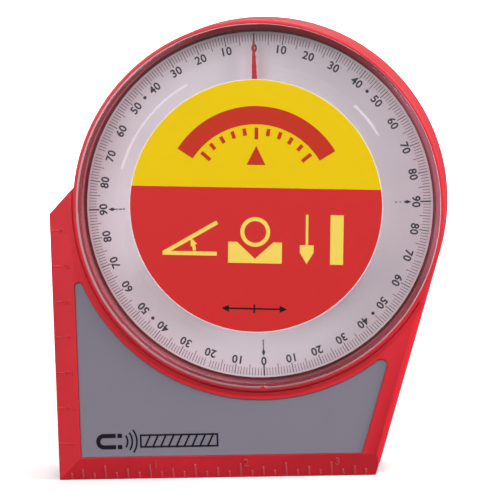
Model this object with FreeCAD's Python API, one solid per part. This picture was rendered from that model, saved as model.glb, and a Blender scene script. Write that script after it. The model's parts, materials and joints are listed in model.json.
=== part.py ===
import FreeCAD, Part
import math
import os

# A hand-held pendulum angle meter. A weighted needle hangs in a round dial cup, over a dial of four
# quadrants, behind a clear cap. The cup stands on a flared base with two bevelled rule edges, a V-groove
# and magnets.
#
# Frame: +X to the right, +Y to the back, +Z up. The origin is the middle of the bounding box's bottom.
# Places on the object are given as across (from the left edge), depth (back from the front face of the base,
# negative towards the viewer) and up (from the bottom face). All sizes are in millimetres.

# Base
base_length = 88.7
base_depth = 25.4
shoulder_drop = 0.7
shoulder_angle = 45.0
side_draft = 1.0
side_edge_round = 2.0

# Bevelled rules
bevel_width = 6.35
bevel_angle = 20.0

# Dial ring and cup
ring_radius = 51.3
ring_left_gap = 7.15
ring_foot_height = 24.5
ring_rise = 1.5
ring_face_width = 0.95
ring_root_depth = 4.0
cup_wall = 2.0
cup_floor_thickness = 2.2
lens_seat_depth = 0.5

# Lens
lens_clearance = 0.1
lens_stand = 1.6
lens_thickness = 2.0
lens_wall = 1.35
lens_edge_bevel = 1.0
lens_brim_width = 11.25
plateau_slope = 1.0
plateau_rise = 0.6
lens_boss_radius = 4.0
lens_boss_length = 1.5
key_radius = 0.75
key_clearance = 0.1

# Labels
centre_label_margin = 3.2
centre_label_thickness = 0.2
recess_depth = 0.7
recess_lip = 0.2
recess_side_frame = 5.15
recess_ring_gap = 2.35
recess_left_round = 1.2
recess_right_round = 1.7
base_label_thickness = 0.25
base_label_clearance = 0.15

# Dial plate and its screws
dial_gap = 0.8
dial_thickness = 1.2
dial_depth = 5.0
dial_hole_clearance = 0.1
dial_screw_reach = 22.0
dial_screw_head_radius = 2.0
dial_screw_head_height = 1.0
dial_screw_radius = 1.0
dial_screw_length = 3.2

# Pivot
shaft_radius = 0.75
running_clearance = 0.03
end_play = 0.2
press_gap = 0.02
bush_end_wall = 0.4
front_bush_radius = 2.0
front_bush_length = 2.8
front_bush_stand = 0.2
rear_bush_radius = 2.2
rear_bush_length = 5.0
rear_boss_radius = 4.6
rear_boss_length = 3.4

# Needle, hub and retaining ring
needle_thickness = 0.5
needle_tip_gap = 1.9
needle_tip_width = 0.3
needle_neck_length = 5.6
needle_neck_width = 1.0
needle_root_reach = 12.0
needle_root_width = 3.4
needle_disc_radius = 8.0
needle_gap = 2.0
hub_radius = 2.4
hub_flange_radius = 3.5
hub_flange_thickness = 0.7
hub_nose_length = 1.1
ring_clip_radius = 3.5
ring_clip_thickness = 0.8

# Counterweight and rivets
weight_outer_radius = 31.0
weight_inner_radius = 10.0
weight_span_angle = 110.0
weight_thickness = 2.9
weight_corner_bevel = 1.5
tail_radius = 26.0
tail_span_angle = 84.0
rivet_radius = 1.2
rivet_head_radius = 2.1
rivet_head_height = 0.4
rivet_reach = 20.0
rivet_spread_angle = 60.0

# V-groove and magnets
groove_half_width = 7.0
groove_roof_half_width = 2.0
magnet_length = 24.0
magnet_height = 11.0
plate_thickness = 1.5
pocket_clearance = 0.05
pocket_wall = 2.0
magnet_place_shares = (0.25, 0.75)

# Hollow of the moulding
wall = 2.4
front_wall_depth = 4.8
rib_thickness = 1.6
rib_top = 40.0
rib_short = 1.0
rib_place_shares = (0.25, 0.5, 0.75)
floor_rib_height = 4.0
floor_rib_count = 3
floor_rib_start_angle = 30.0

# Rear cover and its screws
cover_thickness = 2.4
cover_rim = 1.4
cover_clearance = 0.15
boss_radius = 3.2
base_screw_up = 20.0
ring_screw_inset = 8.3
ring_screw_angle = 90.0
screw_radius = 1.2
screw_length = 11.0
screw_head_radius = 2.6
screw_head_height = 1.4
screw_clearance = 0.2
pilot_clearance = 0.03

# How far a cutter runs past the face that it cuts
overrun = 2.0

# The direction in which the counterweight hangs
down_angle = -90.0

# Worked out
dial_across = ring_radius + ring_left_gap
dial_up = ring_radius + ring_foot_height
left_edge_height = dial_up - shoulder_drop
recess_arc_radius = ring_radius + recess_ring_gap
bevel_drop = bevel_width * math.tan(math.radians(bevel_angle))
seat_radius = ring_radius - ring_face_width
lens_radius = seat_radius - lens_clearance
cup_radius = lens_radius - lens_wall
dial_radius = cup_radius - dial_gap
plateau_radius = lens_radius - lens_brim_width
centre_label_radius = plateau_radius - plateau_slope - centre_label_margin
lens_front = -ring_rise - lens_stand
lens_back = lens_front + lens_thickness
plateau_front = lens_front - plateau_rise
label_front = plateau_front - centre_label_thickness
lens_boss_end = lens_back + lens_boss_length
dial_back = dial_depth + dial_thickness
dial_hole_radius = rear_bush_radius + dial_hole_clearance
cup_floor_back = dial_back + cup_floor_thickness
cover_inner_depth = base_depth - cover_thickness
groove_depth = groove_half_width - groove_roof_half_width
groove_centre_depth = (bevel_drop + base_depth) / 2
cavity_floor_up = groove_depth + wall
needle_back = dial_depth - needle_gap
needle_front = needle_back - needle_thickness
needle_reach = dial_radius - needle_tip_gap
weight_front = needle_front - weight_thickness
hub_back = needle_back + hub_flange_thickness
hub_front = needle_front - hub_nose_length
front_bush_back = lens_boss_end + front_bush_stand
front_bush_front = front_bush_back - front_bush_length
shaft_front = front_bush_front + bush_end_wall + end_play
rear_bush_back = dial_depth + rear_bush_length
shaft_back = rear_bush_back - bush_end_wall - end_play
back_ring_radius = ring_radius + side_draft
total_width = dial_across + back_ring_radius
total_depth = base_depth - label_front
depth_shift = -label_front - total_depth / 2

# The right side leans out from the base's corner until it touches the ring
corner_across = base_length - dial_across
corner_reach = math.hypot(corner_across, dial_up)
lean = math.atan2(dial_up, corner_across) - math.acos(ring_radius / corner_reach)
touch_angle = -math.degrees(lean)


def point(across, depth, up):
    return FreeCAD.Vector(across - total_width / 2, depth + depth_shift, up)


def dial_place(radius, angle):
    """Across and up of a place given from the dial's centre."""
    turn = math.radians(angle)
    return dial_across + radius * math.cos(turn), dial_up + radius * math.sin(turn)


def on_dial(radius, angle, depth):
    across, up = dial_place(radius, angle)
    return point(across, depth, up)


def back_by(length):
    return FreeCAD.Vector(0, length, 0)


def prism(points, direction):
    face = Part.Face(Part.makePolygon(points + points[:1]))
    return face.extrude(direction)


def block(across, depth, up, length, thickness, height):
    return Part.makeBox(length, thickness, height, point(across, depth, up))


def disc(radius, front, back, place=(dial_across, dial_up)):
    """A round piece between two depths, about a place given across and up."""
    across, up = place
    return Part.makeCylinder(radius, back - front, point(across, front, up), FreeCAD.Vector(0, 1, 0))


def edges_near(shape, place):
    return [edge for edge in shape.Edges if edge.distToShape(Part.Vertex(place))[0] < running_clearance]


def edge_chain(steps):
    """A closed wire: each step is the end of a straight run, or a pair, the middle and the end of an arc."""
    edges = []
    last = steps[-1][-1] if isinstance(steps[-1], tuple) else steps[-1]
    for step in steps:
        if isinstance(step, tuple):
            edges.append(Part.Arc(last, step[0], step[1]).toShape())
            last = step[1]
        else:
            edges.append(Part.LineSegment(last, step).toShape())
            last = step
    return Part.Wire(edges)


def turned(steps):
    """Turns a closed profile about the dial's axis."""
    face = Part.Face(edge_chain(steps))
    return face.revolve(on_dial(0, 0, 0), FreeCAD.Vector(0, 1, 0), 360)


def only_solid(shape):
    """The one solid of a result."""
    return max(shape.Solids, key=lambda piece: piece.Volume)


# Outline of the moulding, at a depth, grown or shrunk


def side_across(up, grow):
    """Where the leaning side is at a height."""
    return base_length + grow / math.cos(lean) + up * math.tan(lean)


def shoulder_points(grow, left_inset, shoulder_inset):
    """The cut corner's two ends: on the left side and on the ring."""
    slope = math.radians(shoulder_angle)
    start_across = shoulder_inset * math.sin(slope)
    start_up = left_edge_height - shoulder_inset * math.cos(slope)
    low_up = start_up + (left_inset - start_across) * math.tan(slope)
    offset_across = start_across - dial_across
    offset_up = start_up - dial_up
    along = offset_across * math.cos(slope) + offset_up * math.sin(slope)
    off_line = offset_across ** 2 + offset_up ** 2 - (ring_radius + grow) ** 2
    run = -along - math.sqrt(along ** 2 - off_line)
    high = (start_across + run * math.cos(slope), start_up + run * math.sin(slope))
    return (left_inset, low_up), high


def outline(depth, grow, left_inset, bottom_up, shoulder_inset):
    radius = ring_radius + grow
    low, high = shoulder_points(grow, left_inset, shoulder_inset)
    high_angle = math.degrees(math.atan2(high[1] - dial_up, high[0] - dial_across))
    middle_angle = (touch_angle + high_angle) / 2
    return edge_chain([
        point(left_inset, depth, bottom_up),
        point(side_across(bottom_up, grow), depth, bottom_up),
        on_dial(radius, touch_angle, depth),
        (on_dial(radius, middle_angle, depth), point(high[0], depth, high[1])),
        point(low[0], depth, low[1]),
    ])


def outline_prism(front, back, grow, left_inset, bottom_up, shoulder_inset):
    face = Part.Face(outline(front, grow, left_inset, bottom_up, shoulder_inset))
    return face.extrude(back_by(back - front))


# Housing


def foot():
    """The plain-sided part below the dial, up to its centre. The leaning side's front edge is rounded."""
    low, inside = shoulder_points(-side_draft, 0, 0)
    body = prism([
        point(0, 0, 0),
        point(side_across(0, side_draft), 0, 0),
        on_dial(back_ring_radius, touch_angle, 0),
        point(dial_across, 0, dial_up),
        point(inside[0], 0, inside[1]),
        point(low[0], 0, low[1]),
    ], back_by(base_depth))
    below = -overrun
    along = on_dial(back_ring_radius, touch_angle, 0) - point(side_across(0, side_draft), 0, 0)
    body = only_solid(body.cut(prism([
        point(side_across(below, 0), 0, below),
        point(side_across(below, side_draft), base_depth, below),
        point(side_across(below, side_draft), 0, below),
    ], along * (1 + 2 * overrun / along.Length))))
    middle = (point(side_across(0, 0), 0, 0) + on_dial(ring_radius, touch_angle, 0)) / 2
    return body.makeFillet(side_edge_round, edges_near(body, middle))


def outer_block():
    """The drafted block: the foot and, round the dial, a slight cone that the foot's side meets evenly."""
    axis = FreeCAD.Vector(0, 1, 0)
    cone = Part.makeCone(ring_radius, back_ring_radius, base_depth, on_dial(0, 0, 0), axis)
    return cone.fuse(foot()).removeSplitter()


def bevel_cutters():
    slope = math.tan(math.radians(bevel_angle))
    front = -overrun * slope
    back = (bevel_width + overrun) * slope
    bottom = prism([
        point(-overrun, front, bevel_width + overrun),
        point(-overrun, back, -overrun),
        point(-overrun, front, -overrun),
    ], FreeCAD.Vector(total_width + 2 * overrun, 0, 0))
    left = prism([
        point(bevel_width + overrun, front, -overrun),
        point(-overrun, back, -overrun),
        point(-overrun, front, -overrun),
    ], FreeCAD.Vector(0, 0, dial_up + ring_radius))
    return [bottom, left]


def ring_solid():
    """The proud dial ring, before the cup is cut."""
    return disc(ring_radius, -ring_rise, ring_root_depth)


def cup_cutter():
    return turned([
        on_dial(0, 0, -ring_rise - overrun),
        on_dial(seat_radius, 0, -ring_rise - overrun),
        on_dial(seat_radius, 0, lens_seat_depth),
        on_dial(cup_radius, 0, lens_seat_depth),
        on_dial(cup_radius, 0, dial_back),
        on_dial(0, 0, dial_back),
    ])


def recess_prism(front, back, inset):
    """The base label's place, bounded by the two bevels, the leaning side and an arc round the ring."""
    left = bevel_width + recess_lip + inset
    bottom = bevel_width + recess_lip + inset
    grow = -recess_side_frame - inset
    sheet = prism([
        point(left, front, bottom),
        point(side_across(bottom, grow), front, bottom),
        point(side_across(dial_up, grow), front, dial_up),
        point(left, front, dial_up),
    ], back_by(back - front))
    arc_radius = recess_arc_radius + inset
    sheet = only_solid(sheet.cut(disc(arc_radius, front - overrun, back + overrun)))
    left_up = dial_up - math.sqrt(arc_radius ** 2 - (dial_across - left) ** 2)
    side_reach = ring_radius + grow
    side_angle = touch_angle - math.degrees(math.acos(side_reach / arc_radius))
    middle = (front + back) / 2
    corners = (
        (point(left, middle, left_up), recess_left_round - inset),
        (on_dial(arc_radius, side_angle, middle), recess_right_round - inset),
    )
    for corner, radius in corners:
        sheet = sheet.makeFillet(radius, edges_near(sheet, corner))
    return sheet


def groove_cutter():
    middle = groove_centre_depth
    wide = groove_half_width + overrun
    return prism([
        point(-overrun, middle - wide, -overrun),
        point(-overrun, middle - groove_roof_half_width, groove_depth),
        point(-overrun, middle + groove_roof_half_width, groove_depth),
        point(-overrun, middle + wide, -overrun),
    ], FreeCAD.Vector(total_width + 2 * overrun, 0, 0))


def sandwich_half():
    return groove_roof_half_width + plate_thickness


def magnet_starts():
    return [share * base_length - magnet_length / 2 for share in magnet_place_shares]


def magnet_blocks():
    """Walls round each magnet pocket, standing in the hollow."""
    half = sandwich_half() + pocket_clearance + pocket_wall
    return [
        block(start - pocket_wall, groove_centre_depth - half, cavity_floor_up - overrun,
              magnet_length + 2 * pocket_wall, 2 * half, magnet_height + overrun)
        for start in magnet_starts()
    ]


def magnet_pockets():
    half = sandwich_half() + pocket_clearance
    return [
        block(start - pocket_clearance, groove_centre_depth - half, 0,
              magnet_length + 2 * pocket_clearance, 2 * half, groove_depth + magnet_height)
        for start in magnet_starts()
    ]


def screw_places():
    """Across and up of each cover screw: between the magnets and at the top of the ring."""
    return [(base_length / 2, base_screw_up), dial_place(ring_radius - ring_screw_inset, ring_screw_angle)]


def cover_bosses():
    front = front_wall_depth - overrun
    return [disc(boss_radius, front, cover_inner_depth, place) for place in screw_places()]


def pilot_holes():
    front = base_depth - screw_length - overrun
    radius = screw_radius + pilot_clearance
    return [disc(radius, front, base_depth, place) for place in screw_places()]


def dial_screw_places():
    return [dial_place(dial_screw_reach, 180), dial_place(dial_screw_reach, 0)]


def dial_screw_holes():
    """Holes through the cup's floor."""
    radius = dial_screw_radius + pilot_clearance
    return [disc(radius, 0, cup_floor_back + overrun, place) for place in dial_screw_places()]


def base_ribs():
    """Upright ribs of the base, from its floor to behind the cup."""
    back = cover_inner_depth - rib_short
    return [
        block(share * base_length - rib_thickness / 2, front_wall_depth - overrun, cavity_floor_up - overrun,
              rib_thickness, back - front_wall_depth + overrun, rib_top - cavity_floor_up + overrun)
        for share in rib_place_shares
    ]


def floor_ribs():
    """Ribs that run out from the pivot boss over the back of the cup's floor."""
    ribs = []
    for number in range(floor_rib_count):
        rib = block(dial_across, dial_back, dial_up - rib_thickness / 2,
                    ring_radius, floor_rib_height + cup_floor_thickness, rib_thickness)
        turn = floor_rib_start_angle + number * 360 / floor_rib_count
        rib.rotate(on_dial(0, 0, 0), FreeCAD.Vector(0, 1, 0), turn)
        ribs.append(rib)
    return ribs


def hollow():
    """What is cored out from the back: all but the cup, the ribs, the bosses and the magnet pockets."""
    core = outline_prism(front_wall_depth, base_depth, -wall, wall, cavity_floor_up, wall)
    kept = [disc(cup_radius + cup_wall, 0, cup_floor_back)]
    kept += [disc(rear_boss_radius, dial_back, cup_floor_back + rear_boss_length)]
    kept += magnet_blocks() + cover_bosses() + base_ribs() + floor_ribs()
    return core.cut(kept)


def lens_key():
    key = disc(key_radius, -ring_rise, lens_seat_depth, dial_place(seat_radius, down_angle))
    return key.common(disc(ring_radius, -ring_rise, lens_seat_depth))


def make_housing():
    body = outer_block().cut(bevel_cutters())
    body = body.fuse(ring_solid()).cut(cup_cutter())
    body = body.fuse(lens_key())
    body = body.cut(recess_prism(-overrun, recess_depth, 0))
    body = body.cut([groove_cutter()] + magnet_pockets())
    body = body.cut(hollow())
    body = body.cut(outline_prism(cover_inner_depth, base_depth + overrun, side_draft - cover_rim,
                                  cover_rim, cover_rim, cover_rim))
    bush_hole = disc(rear_bush_radius, 0, rear_bush_back)
    return only_solid(body.cut([bush_hole] + pilot_holes() + dial_screw_holes()))


# Rear cover and screws


def screw_cone(place):
    """A countersunk head's cone, flush with the back."""
    across, up = place
    start = point(across, base_depth, up)
    return Part.makeCone(screw_head_radius, screw_radius, screw_head_height, start, FreeCAD.Vector(0, -1, 0))


def make_rear_cover():
    inset = cover_rim + cover_clearance
    plate = outline_prism(cover_inner_depth, base_depth, side_draft - inset, inset, inset, inset)
    for place in screw_places():
        shank = disc(screw_radius + screw_clearance, cover_inner_depth - overrun, base_depth, place)
        plate = plate.cut([shank, screw_cone(place)])
    return only_solid(plate)


def make_cover_screws():
    screws = []
    for place in screw_places():
        shank = disc(screw_radius, base_depth - screw_length, base_depth - screw_head_height, place)
        screws.append(only_solid(shank.fuse(screw_cone(place))))
    return Part.makeCompound(screws)


# Lens


def make_lens():
    body = turned([
        on_dial(0, 0, plateau_front),
        on_dial(plateau_radius - plateau_slope, 0, plateau_front),
        on_dial(plateau_radius, 0, lens_front),
        on_dial(lens_radius - lens_edge_bevel, 0, lens_front),
        on_dial(lens_radius, 0, lens_front + lens_edge_bevel),
        on_dial(lens_radius, 0, lens_seat_depth),
        on_dial(cup_radius, 0, lens_seat_depth),
        on_dial(cup_radius, 0, lens_back),
        on_dial(lens_boss_radius, 0, lens_back),
        on_dial(lens_boss_radius, 0, lens_boss_end),
        on_dial(front_bush_radius, 0, lens_boss_end),
        on_dial(front_bush_radius, 0, front_bush_front),
        on_dial(0, 0, front_bush_front),
    ])
    notch = disc(key_radius + key_clearance, lens_front - overrun, lens_seat_depth + overrun,
                 dial_place(seat_radius, down_angle))
    return only_solid(body.cut(notch))


# Dial plate and its screws


def make_dial_plate():
    plate = disc(dial_radius, dial_depth, dial_back)
    front, back = dial_depth - overrun, dial_back + overrun
    holes = [disc(dial_hole_radius, front, back)]
    holes += [disc(dial_screw_radius + screw_clearance, front, back, place) for place in dial_screw_places()]
    return only_solid(plate.cut(holes))


def make_dial_screws():
    screws = []
    for place in dial_screw_places():
        head = disc(dial_screw_head_radius, dial_depth - dial_screw_head_height, dial_depth, place)
        shank = disc(dial_screw_radius, dial_depth, dial_depth + dial_screw_length, place)
        screws.append(only_solid(head.fuse(shank)))
    return Part.makeCompound(screws)


# Labels


def make_centre_label():
    return disc(centre_label_radius, label_front, plateau_front)


def make_base_label():
    return recess_prism(recess_depth - base_label_thickness, recess_depth, base_label_clearance)


# Pivot


def make_front_bush():
    bore = disc(shaft_radius + running_clearance, front_bush_front + bush_end_wall, front_bush_back)
    return disc(front_bush_radius, front_bush_front, front_bush_back).cut(bore)


def make_rear_bush():
    bore = disc(shaft_radius + running_clearance, dial_depth, rear_bush_back - bush_end_wall)
    return disc(rear_bush_radius, dial_depth, rear_bush_back).cut(bore)


def make_pivot_shaft():
    return disc(shaft_radius, shaft_front, shaft_back)


# Needle, hub, ring, counterweight and rivets


def sector(inner, outer, span, front, back):
    """A flat sector of a ring, hanging below the pivot."""
    first = down_angle - span / 2
    last = down_angle + span / 2
    wire = edge_chain([
        on_dial(outer, first, front),
        (on_dial(outer, down_angle, front), on_dial(outer, last, front)),
        on_dial(inner, last, front),
        (on_dial(inner, down_angle, front), on_dial(inner, first, front)),
    ])
    return Part.Face(wire).extrude(back_by(back - front))


def blade(front, back):
    """The tapering blade, from the disc up to its tip."""
    halves = (
        (needle_root_reach, needle_root_width / 2),
        (needle_reach - needle_neck_length, needle_neck_width / 2),
        (needle_reach, needle_tip_width / 2),
    )
    right = [point(dial_across + half, front, dial_up + reach) for reach, half in halves]
    left = [point(dial_across - half, front, dial_up + reach) for reach, half in reversed(halves)]
    low_right = point(dial_across + needle_root_width / 2, front, dial_up)
    low_left = point(dial_across - needle_root_width / 2, front, dial_up)
    return prism([low_right] + right + left + [low_left], back_by(back - front))


def rivet_places():
    return [dial_place(rivet_reach, down_angle + side * rivet_spread_angle / 2) for side in (-1, 1)]


def make_needle():
    front, back = needle_front, needle_back
    body = blade(front, back).fuse(disc(needle_disc_radius, front, back))
    body = body.fuse(sector(hub_radius + needle_thickness, tail_radius, tail_span_angle, front, back))
    holes = [disc(hub_radius + press_gap, front, back)]
    holes += [disc(rivet_radius + press_gap, front, back, place) for place in rivet_places()]
    return only_solid(body.cut(holes).removeSplitter())


def make_needle_hub():
    barrel = disc(hub_radius, hub_front, hub_back)
    flange = disc(hub_flange_radius, needle_back, needle_back + hub_flange_thickness)
    return only_solid(barrel.fuse(flange).cut(disc(shaft_radius + press_gap, hub_front, hub_back)))


def make_retaining_ring():
    front = needle_front - ring_clip_thickness
    return disc(ring_clip_radius, front, needle_front).cut(disc(hub_radius + press_gap, front, needle_front))


def make_counterweight():
    front, back = weight_front, needle_front
    body = sector(weight_inner_radius, weight_outer_radius, weight_span_angle, front, back)
    corners = [edge for edge in body.Edges if abs(edge.Length - weight_thickness) < running_clearance]
    body = body.makeChamfer(weight_corner_bevel, corners)
    holes = [disc(rivet_radius + press_gap, front, back, place) for place in rivet_places()]
    return only_solid(body.cut(holes))


def make_weight_rivets():
    """Each is driven through the needle's tail into the casting, and its head lies behind the tail."""
    rivets = []
    for place in rivet_places():
        stem = disc(rivet_radius, weight_front, needle_back, place)
        head = disc(rivet_head_radius, needle_back, needle_back + rivet_head_height, place)
        rivets.append(only_solid(stem.fuse(head)))
    return Part.makeCompound(rivets)


# Magnets and pole plates


def make_magnet(start):
    return block(start, groove_centre_depth - groove_roof_half_width, groove_depth,
                 magnet_length, 2 * groove_roof_half_width, magnet_height)


def make_pole_plate(start, side):
    """A steel plate beside the magnet. Its lower edge lies in the groove's sloping face."""
    near = groove_centre_depth + side * groove_roof_half_width
    far = groove_centre_depth + side * sandwich_half()
    top = groove_depth + magnet_height
    return prism([
        point(start, near, groove_depth),
        point(start, far, groove_depth - plate_thickness),
        point(start, far, top),
        point(start, near, top),
    ], FreeCAD.Vector(magnet_length, 0, 0))


def build():
    left_start, right_start = magnet_starts()
    return {
        "housing": make_housing(),
        "rear_cover": make_rear_cover(),
        "cover_screws": make_cover_screws(),
        "lens": make_lens(),
        "dial_plate": make_dial_plate(),
        "dial_screws": make_dial_screws(),
        "centre_label": make_centre_label(),
        "base_label": make_base_label(),
        "front_bush": make_front_bush(),
        "rear_bush": make_rear_bush(),
        "pivot_shaft": make_pivot_shaft(),
        "needle": make_needle(),
        "needle_hub": make_needle_hub(),
        "retaining_ring": make_retaining_ring(),
        "counterweight": make_counterweight(),
        "weight_rivets": make_weight_rivets(),
        "magnet_left": make_magnet(left_start),
        "magnet_right": make_magnet(right_start),
        "pole_plate_left_front": make_pole_plate(left_start, -1),
        "pole_plate_left_back": make_pole_plate(left_start, 1),
        "pole_plate_right_front": make_pole_plate(right_start, -1),
        "pole_plate_right_back": make_pole_plate(right_start, 1),
    }


os.makedirs("parts", exist_ok=True)
for node, shape in build().items():
    shape.exportStep("parts/" + node + ".step")
    box = shape.BoundBox
    print(node, "solids", len(shape.Solids), "valid", shape.isValid(), "volume", round(shape.Volume, 1),
          "box", [round(value, 2) for value in (box.XMin, box.YMin, box.ZMin, box.XMax, box.YMax, box.ZMax)])
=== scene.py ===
# %% [markdown]
# # A pendulum angle meter
#
# This angle meter has a red moulded housing, a white dial under a clear cap, and a needle with a weight that
# always hangs straight down. The frame of solids comes first. Everything below is laid round it, so nothing
# is placed by eye: a piece takes its place from the solid that carries it.

# %% Load the frame
import json
import math

import bmesh
import bpy
from mathutils import Matrix, Vector

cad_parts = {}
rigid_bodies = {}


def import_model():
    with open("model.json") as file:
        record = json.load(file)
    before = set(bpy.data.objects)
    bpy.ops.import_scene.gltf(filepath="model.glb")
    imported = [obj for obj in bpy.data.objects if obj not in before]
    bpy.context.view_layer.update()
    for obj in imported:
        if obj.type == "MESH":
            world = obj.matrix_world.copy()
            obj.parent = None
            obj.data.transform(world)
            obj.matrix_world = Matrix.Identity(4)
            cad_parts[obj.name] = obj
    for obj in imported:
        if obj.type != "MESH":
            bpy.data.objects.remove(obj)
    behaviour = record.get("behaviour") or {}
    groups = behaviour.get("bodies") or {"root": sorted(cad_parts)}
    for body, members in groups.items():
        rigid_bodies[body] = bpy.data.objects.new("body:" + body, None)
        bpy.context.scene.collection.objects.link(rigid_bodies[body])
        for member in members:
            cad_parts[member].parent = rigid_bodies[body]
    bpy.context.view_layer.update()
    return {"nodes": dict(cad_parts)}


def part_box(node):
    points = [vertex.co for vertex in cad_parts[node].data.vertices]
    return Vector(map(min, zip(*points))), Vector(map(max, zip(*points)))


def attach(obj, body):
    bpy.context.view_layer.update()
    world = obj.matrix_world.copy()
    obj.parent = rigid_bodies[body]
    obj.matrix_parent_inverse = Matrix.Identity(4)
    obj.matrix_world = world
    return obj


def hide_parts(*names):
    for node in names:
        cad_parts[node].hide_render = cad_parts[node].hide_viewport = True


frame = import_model()
nodes = frame["nodes"]

# %% [markdown]
# ## Places on the object
#
# All sizes are written in millimetres and turned into metres by one unit. The dial's middle is read from the
# dial plate. Depth runs back from the front face of the base, which lies a ring's rise behind the front of
# the dial ring. Places on the dial are given by a radius, an angle from the top, clockwise, and a depth.

# %% Places
mm = 0.001
ring_rise = 1.5 * mm

dial_low, dial_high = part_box("dial_plate")
housing_low, housing_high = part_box("housing")
lens_low, lens_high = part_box("lens")
base_label_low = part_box("base_label")[0]
centre_label_low, centre_label_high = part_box("centre_label")

dial_x = (dial_low.x + dial_high.x) / 2
dial_z = (dial_low.z + dial_high.z) / 2
dial_radius = (dial_high.x - dial_low.x) / 2
lens_radius = (lens_high.x - lens_low.x) / 2
centre_label_radius = (centre_label_high.x - centre_label_low.x) / 2
front_y = housing_low.y + ring_rise
left_x = housing_low.x


def on_dial(radius, angle, depth):
    """A point at a radius and an angle in degrees, clockwise from the top, seen from the front."""
    turn = math.radians(angle)
    return Vector((dial_x + radius * math.sin(turn), front_y + depth, dial_z + radius * math.cos(turn)))


def on_base(across, up, depth=0.0):
    """A point measured from the base's lower left corner."""
    return Vector((left_x + across, front_y + depth, up))


print("dial radius", round(dial_radius / mm, 2), "mm, lens radius", round(lens_radius / mm, 2), "mm")

# %% [markdown]
# ## Camera
#
# The photograph was taken from a little to the right and above, with a long lens, and the camera was tilted
# by not quite two degrees. The direction of view is built from these three angles, which keeps them readable.

# %% Camera
camera_place = Vector((51.08 * mm, -640.5 * mm, 123.3 * mm))
camera_yaw = math.radians(4.59)
camera_pitch = math.radians(5.37)
camera_roll = math.radians(-1.81)
camera_focal_length = 165.6

level = Vector((-math.sin(camera_yaw), math.cos(camera_yaw), 0))
right = Vector((math.cos(camera_yaw), math.sin(camera_yaw), 0))
forward = level * math.cos(camera_pitch) - Vector((0, 0, math.sin(camera_pitch)))
upward = right.cross(forward)
tilt = Matrix.Rotation(camera_roll, 3, -forward)
axes = Matrix((tilt @ right, tilt @ upward, -forward)).transposed()

camera = bpy.data.objects.new("camera", bpy.data.cameras.new("camera"))
bpy.context.scene.collection.objects.link(camera)
camera.data.lens = camera_focal_length
camera.data.clip_start = 0.01
camera.matrix_world = Matrix.Translation(camera_place) @ axes.to_4x4()
bpy.context.scene.camera = camera
print("camera looks along", [round(value, 3) for value in forward])

# %% [markdown]
# ## Working by hand in code
#
# The pieces are modelled with the same operators that the menus call. An operator acts on whatever is
# selected, so each step starts by deselecting everything and making one piece active.

# %% Selecting and editing


def only(*pieces):
    """Selects these pieces alone and makes the first one active."""
    for item in bpy.context.view_layer.objects:
        item.select_set(False)
    for item in pieces:
        item.select_set(True)
    bpy.context.view_layer.objects.active = pieces[0]


def edit(piece, kind="VERT"):
    """Opens a piece in edit mode, to select points, edges or faces."""
    only(piece)
    bpy.ops.object.mode_set(mode="EDIT")
    bpy.ops.mesh.select_mode(type=kind)


def leave():
    bpy.ops.object.mode_set(mode="OBJECT")


def select_all():
    bpy.ops.mesh.select_all(action="SELECT")


def extrude(move):
    bpy.ops.mesh.extrude_region_move(TRANSFORM_OT_translate={"value": move})


def merge_points(gap):
    """Merges points that lie closer together than a gap."""
    select_all()
    bpy.ops.mesh.remove_doubles(threshold=gap)


def face_outwards():
    select_all()
    bpy.ops.mesh.normals_make_consistent(inside=False)


# %% [markdown]
# ## Picking by place
#
# A script has no mouse, so edges and faces are picked by a test on where they lie. The same test still finds
# the right ones when a size changes, which a list of their numbers wouldn't.

# %% Picking edges and faces


def pick_edges(piece, test):
    """In edit mode: selects the edges that pass a test on their middle and the angle between their faces."""
    mesh = bmesh.from_edit_mesh(piece.data)
    for item in (*mesh.faces, *mesh.verts):
        item.select = False
    picked = 0
    for edge in mesh.edges:
        first, last = (vertex.co for vertex in edge.verts)
        edge.select = test((first + last) / 2, math.degrees(edge.calc_face_angle(0.0)))
        picked += edge.select
    bmesh.update_edit_mesh(piece.data)
    return picked


def pick_faces(piece, test):
    """In edit mode: selects the faces that pass a test on their middle and normal."""
    mesh = bmesh.from_edit_mesh(piece.data)
    for face in mesh.faces:
        face.select = False
    for face in mesh.faces:
        face.select = test(face.calc_center_median(), face.normal)
    bmesh.update_edit_mesh(piece.data)


# %% [markdown]
# ## Names, modifiers and shading
#
# Roundings, welds and cuts are modifiers, because they can be tried without changing the mesh. They are
# applied when the mesh itself has to be worked on further.

# %% Names, modifiers and shading


def name_piece(piece, name):
    piece.name = name
    piece.data.name = name
    return piece


def add_modifier(piece, kind, **values):
    modifier = piece.modifiers.new(kind.lower(), kind)
    for key, value in values.items():
        setattr(modifier, key, value)


def apply_modifiers(piece):
    only(piece)
    for modifier in list(piece.modifiers):
        bpy.ops.object.modifier_apply(modifier=modifier.name)


def cut_away(piece, cutter):
    """Takes a cutter out of a piece and removes the cutter."""
    add_modifier(piece, "BOOLEAN", operation="DIFFERENCE", object=cutter, solver="EXACT")
    apply_modifiers(piece)
    bpy.data.objects.remove(cutter)


def smooth(piece, angle=30.0):
    only(piece)
    bpy.ops.object.shade_smooth_by_angle(angle=math.radians(angle))


def tidy_mesh(piece, gap=0.002 * mm):
    """Merges doubles and turns the faces outwards."""
    edit(piece)
    merge_points(gap)
    bpy.ops.mesh.normals_make_consistent(inside=False)
    leave()


# %% [markdown]
# ## Placing, copying and joining
#
# A finished piece lies at the origin, unturned and unscaled, with its place in its mesh. So a new block or
# disc is added where it belongs, and its place is then moved into the mesh at once.

# %% Placing, copying and joining


def place(piece, matrix=Matrix.Identity(4)):
    """Moves the mesh itself, so that the finished object stays at the origin, unturned."""
    piece.data.transform(matrix @ piece.matrix_world)
    piece.matrix_world = Matrix.Identity(4)
    return piece


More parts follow.
